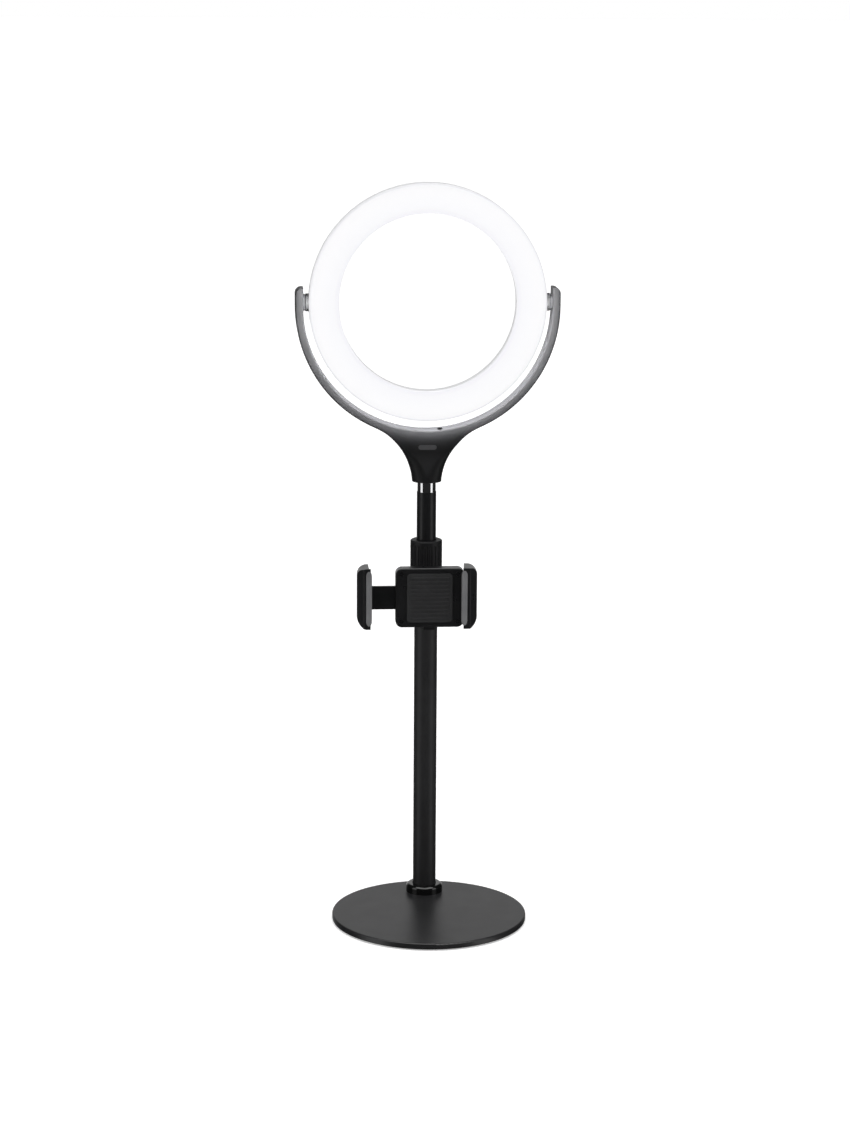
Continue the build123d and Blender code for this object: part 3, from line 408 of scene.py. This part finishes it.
def add_rib(mesh, middle, half_length, sunk, height, half_width):
    """Soft rib along X on a face that looks towards -Y: full in the middle, thin at both ends."""
    rows = []
    for step in range(25):
        turn = math.radians(-84.0 + 168.0 * step / 24)
        bulge = math.cos(turn) ** 0.5
        x = middle[0] + half_length * math.copysign(abs(math.sin(turn)) ** 0.35, turn)
        row = []
        for part in range(11):
            angle = math.radians(180.0 * part / 10)
            row.append(mesh.verts.new((
                x,
                middle[1] + sunk - height * bulge * math.sin(angle),
                middle[2] + half_width * bulge * math.cos(angle),
            )))
        rows.append(row)
    for first, second in zip(rows, rows[1:]):
        for part in range(10):
            mesh.faces.new((first[part], first[part + 1], second[part + 1], second[part]))
        mesh.faces.new((first[10], first[0], second[0], second[10]))
    mesh.faces.new(rows[0])
    mesh.faces.new(rows[-1])


def ribbed_back_pad():
    """Thin rubber sheet behind the phone, with a row of soft ribs across it."""
    low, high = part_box("back_pad")
    center = mid("back_pad")
    half_x, half_z = (high.x - low.x) / 2, (high.z - low.z) / 2
    face = low.y + 0.55 * MM
    edge = 0.3 * MM
    corner = 3.0 * MM
    rings = [slab_ring(center, half_x, half_z, corner, 0.0, high.y)]
    for step in range(7):
        angle = math.radians(15.0 * step)
        rings.append(slab_ring(center, half_x, half_z, corner, edge * (1 - math.cos(angle)),
                               face + edge * (1 - math.sin(angle))))
    sheet = skin("back_pad_sheet", rings, "back_rubber", "phone_grip")
    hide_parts("back_pad")
    rib_count = 11
    rib_pitch = 3.1 * MM
    margin = 2.2 * MM
    ribs = bmesh.new()
    for k in range(rib_count):
        z = center.z + (k - (rib_count - 1) / 2) * rib_pitch
        add_rib(ribs, (center.x, face, z), half_x - margin, sunk=0.05 * MM, height=0.58 * MM,
                half_width=0.85 * MM)
    bmesh.ops.recalc_face_normals(ribs, faces=ribs.faces)
    finish_piece("back_pad_ribs", ribs, "back_rubber", "phone_grip")


def raised_line(name, path, width, face, body):
    """Thin raised line on a face that looks towards +Y, along (x, z) points, round-ended."""
    last = len(path) - 1
    stations = []
    for k, here in enumerate(path):
        along = (path[min(k + 1, last)] - path[max(k - 1, 0)]).normalized()
        stations.append((here, Vector((-along.y, along.x)), 1.0))
    start, end = path[0], path[-1]
    ahead = (path[1] - path[0]).normalized()
    behind = (path[-1] - path[-2]).normalized()
    caps = [math.radians(a) for a in (80.0, 60.0, 40.0, 20.0)]
    first = [(start - ahead * width / 2 * math.sin(a), stations[0][1], math.cos(a)) for a in caps]
    final = [(end + behind * width / 2 * math.sin(a), stations[-1][1], math.cos(a)) for a in caps]
    stations = first + stations + final[::-1]
    # Cross-section of the line: shares of its width, and millimetres above the face.
    profile = ((-0.5, -0.04), (-0.5, 0.07), (-0.4, 0.12), (0.4, 0.12), (0.5, 0.07), (0.5, -0.04))
    rings = []
    for here, across, narrow in stations:
        ring = []
        for share, lift in profile:
            spot = here + across * (share * width * narrow)
            ring.append(Vector((spot.x, face + lift * MM, spot.y)))
        rings.append(ring)
    skin(name, rings, "reflector_white", body)


def button_marks():
    """Minus, power and plus signs on the three buttons."""
    half = 1.1 * MM
    width = 0.42 * MM
    for node, sign in (("dimmer_button", "minus"), ("brighter_button", "plus")):
        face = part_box(node)[1].y
        place = mid(node)
        here = Vector((place.x, place.z))
        level = [here + Vector((half * (k / 4 - 1), 0.0)) for k in range(9)]
        raised_line(f"{sign}_sign", level, width, face, node)
        if sign == "plus":
            rise = [here + Vector((0.0, half * (k / 4 - 1))) for k in range(9)]
            raised_line(f"{sign}_sign_upright", rise, width, face, node)
    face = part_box("power_button")[1].y
    place = mid("power_button")
    here = Vector((place.x, place.z - 0.1 * MM))
    arc = []
    for k in range(25):
        angle = math.radians(125.0 + 290.0 * k / 24)
        arc.append(here + Vector((math.cos(angle), math.sin(angle))) * half)
    raised_line("power_sign_arc", arc, width * 0.85, face, "power_button")
    bar = [here + Vector((0.0, half * (0.3 + 0.95 * k / 6))) for k in range(7)]
    raised_line("power_sign_bar", bar, width * 0.85, face, "power_button")


def brake_coil():
    """Coil spring of the jaw brake, drawn at one length: it does not shorten as its button is
    pressed.
    """
    low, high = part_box("brake_spring")
    center = mid("brake_spring")
    length = high.z - low.z
    wire = 0.28 * MM
    turns = 5.5
    coil = (high.x - low.x) / 2 - wire
    rise = length - 2 * wire
    steps = int(turns * 28)
    closing = 0.55
    rings = []
    for k in range(steps + 1):
        share = k / steps
        angle = 2 * math.pi * turns * share
        settled = share - math.sin(2 * math.pi * share) / (2 * math.pi) * closing
        out = Vector((math.cos(angle), math.sin(angle), 0.0))
        heart = Vector((center.x, center.y, low.z + wire + rise * settled)) + out * coil
        ring = []
        for part in range(10):
            tilt = 2 * math.pi * part / 10
            ring.append(heart + wire * (out * math.cos(tilt) + Vector((0, 0, math.sin(tilt)))))
        rings.append(ring)
    piece = skin("brake_coil", rings, "steel", "phone_grip", smooth=80.0)
    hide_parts("brake_spring")
    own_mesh(piece)


foam_foot()
grip_sleeve("fixed_jaw_sleeve", "fixed_jaw_pad", "phone_grip", side=1, reach=1.8 * MM)
grip_sleeve("moving_jaw_sleeve", "moving_jaw_pad", "moving_jaw", side=-1, reach=1.1 * MM)
ribbed_back_pad()
button_marks()
brake_coil()

# Stage --------------------------------------------------------------------------------

FLOOR_SIZE = 60.0
FLOOR_GLOW = 0.42

# Light from around: its levels in front and behind, and the Y parts of a direction between
# which it changes from the one to the other.
WORLD_LEVELS = (0.022, 0.75)
WORLD_TURN = (0.78, 0.985)

SOFTBOX_AIM = (0.0, 0.05, 0.2)
SOFTBOX_SIZE = (0.95, 3.2)


def add_lamp(name, kind):
    """Lamp of a kind, in the scene."""
    lamp = bpy.data.lights.new(name, kind)
    piece = bpy.data.objects.new(name, lamp)
    bpy.context.scene.collection.objects.link(piece)
    return lamp, piece


def floor():
    """Large plain pale floor. Mirror-like rays pass through it, as over a glass table."""
    bpy.ops.mesh.primitive_plane_add(size=FLOOR_SIZE)
    plane = bpy.context.object
    plane.name = "floor"
    paper = finish_material("floor_paper", (0.93, 0.93, 0.93), 0.8, vary=0.005, depth=0.00002)
    tree = paper.node_tree
    output = next(n for n in tree.nodes if n.type == "OUTPUT_MATERIAL")
    shader = next(n for n in tree.nodes if n.type == "BSDF_PRINCIPLED")
    shader.inputs["Emission Color"].default_value = (1.0, 1.0, 1.0, 1.0)
    shader.inputs["Emission Strength"].default_value = FLOOR_GLOW
    path = tree.nodes.new("ShaderNodeLightPath")
    clear = tree.nodes.new("ShaderNodeBsdfTransparent")
    mix = tree.nodes.new("ShaderNodeMixShader")
    tree.links.new(path.outputs["Is Glossy Ray"], mix.inputs["Fac"])
    tree.links.new(shader.outputs["BSDF"], mix.inputs[1])
    tree.links.new(clear.outputs["BSDF"], mix.inputs[2])
    tree.links.new(mix.outputs["Shader"], output.inputs["Surface"])
    plane.data.materials.append(paper)


def softbox(name, place, radiance):
    """Soft rectangular light beside the part, as bright as its radiance says."""
    lamp, piece = add_lamp(name, "AREA")
    lamp.shape = "RECTANGLE"
    lamp.size, lamp.size_y = SOFTBOX_SIZE
    lamp.energy = radiance * math.pi * SOFTBOX_SIZE[0] * SOFTBOX_SIZE[1]
    piece.location = place
    piece.rotation_mode = "QUATERNION"
    piece.rotation_quaternion = (Vector(SOFTBOX_AIM) - Vector(place)).to_track_quat("-Z", "Y")


def overhead_light():
    """Broad even light from above."""
    lamp, piece = add_lamp("overhead", "SUN")
    lamp.energy = 2.6
    lamp.angle = math.radians(70.0)
    piece.rotation_euler = (math.radians(12.0), 0.0, 0.0)


def glow_lamp(name, receivers, size, shift, turn, beam, radiance):
    """Lamp for the light that the ring throws on some parts, which moves with the ring.

    The shift is from the middle of the ring's front, and the beam is the lamp's spread."""
    lamp, piece = add_lamp(name, "AREA")
    lamp.shape = "ELLIPSE"
    lamp.size, lamp.size_y = size
    lamp.spread = math.radians(beam)
    lamp.energy = radiance * math.pi * math.pi * size[0] * size[1] / 4
    piece.location = Vector((ring_middle.x, ring_low.y, ring_middle.z)) + Vector(shift)
    piece.rotation_euler = (math.radians(turn), 0.0, 0.0)
    piece.visible_camera = False
    piece.visible_glossy = False
    lit = bpy.data.collections.new(name + "_lit")
    for node in receivers:
        lit.objects.link(nodes[node])
    piece.light_linking.receiver_collection = lit
    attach(piece, "ring_head")
    return piece, lit


def ring_glow():
    """The ring's light on the yoke's front, on the hubs, and on the inside of the yoke."""
    shells = ("yoke_front_shell", "yoke_rear_shell")
    hubs = ("pivot_hubs", "friction_washers")
    yoke_span = 2 * ring_outer + 12.6 * MM
    hub_span = 2 * ring_outer + 3.0 * MM
    glow_lamp("yoke_glow", shells, (yoke_span, yoke_span), shift=(0.0, -11.0 * MM, 0.3 * MM),
              turn=90.0, beam=130.0, radiance=58.0)
    glow_lamp("hub_glow", hubs, (hub_span, hub_span), shift=(0.0, -8.0 * MM, 0.0),
              turn=90.0, beam=180.0, radiance=140.0)
    inner, lit = glow_lamp("inner_glow", shells, (120.0 * MM, 10.0 * MM),
                           shift=(0.0, 7.5 * MM, 0.0), turn=0.0, beam=180.0, radiance=1900.0)
    inner.light_linking.blocker_collection = lit


def studio_world():
    """White to the camera; for other rays dark in front and bright behind."""
    world = bpy.data.worlds.new("studio")
    bpy.context.scene.world = world
    world.use_nodes = True
    sky = world.node_tree
    sky.nodes.clear()
    path = sky.nodes.new("ShaderNodeLightPath")
    seen = sky.nodes.new("ShaderNodeBackground")
    seen.inputs["Color"].default_value = (1.0, 1.0, 1.0, 1.0)
    around = sky.nodes.new("ShaderNodeTexCoord")
    split = sky.nodes.new("ShaderNodeSeparateXYZ")
    lit = sky.nodes.new("ShaderNodeBackground")
    lit.inputs["Color"].default_value = (1.0, 1.0, 1.0, 1.0)
    sky.links.new(around.outputs["Generated"], split.inputs["Vector"])
    sky.links.new(spread(sky, split.outputs["Y"], *WORLD_LEVELS, *WORLD_TURN),
                  lit.inputs["Strength"])
    choose = sky.nodes.new("ShaderNodeMixShader")
    output = sky.nodes.new("ShaderNodeOutputWorld")
    sky.links.new(path.outputs["Is Camera Ray"], choose.inputs["Fac"])
    sky.links.new(lit.outputs["Background"], choose.inputs[1])
    sky.links.new(seen.outputs["Background"], choose.inputs[2])
    sky.links.new(choose.outputs["Shader"], output.inputs["Surface"])


floor()
softbox("left", (-1.75, -0.62, 0.2), 1.15)
softbox("right", (1.72, -0.85, 0.2), 1.25)
overhead_light()
ring_glow()
studio_world()

bpy.context.scene.view_settings.view_transform = "Standard"
bpy.context.scene.view_settings.look = "None"

# Camera -------------------------------------------------------------------------------

camera_distance = 2.1
camera_height = 0.7337
camera_azimuth = math.radians(4.2216)
camera_pitch = math.radians(12.2041)
camera_roll = math.radians(0.3621)

camera_data = bpy.data.cameras.new("camera")
camera = bpy.data.objects.new("camera", camera_data)
bpy.context.scene.collection.objects.link(camera)
bpy.context.scene.camera = camera
forward = Vector((
    math.sin(camera_azimuth) * math.cos(camera_pitch),
    math.cos(camera_azimuth) * math.cos(camera_pitch),
    -math.sin(camera_pitch),
))
level_right = forward.cross(Vector((0, 0, 1))).normalized()
level_up = level_right.cross(forward)
right = math.cos(camera_roll) * level_right + math.sin(camera_roll) * level_up
up = -math.sin(camera_roll) * level_right + math.cos(camera_roll) * level_up
turn = Matrix((right, up, -forward)).transposed()
place = Vector((
    -camera_distance * math.sin(camera_azimuth),
    -camera_distance * math.cos(camera_azimuth),
    camera_height,
))
camera.matrix_world = Matrix.Translation(place) @ turn.to_4x4()
camera_data.sensor_width = 36.0
camera_data.lens = 90.24
camera_data.shift_x = -0.00524
camera_data.clip_end = 100.0
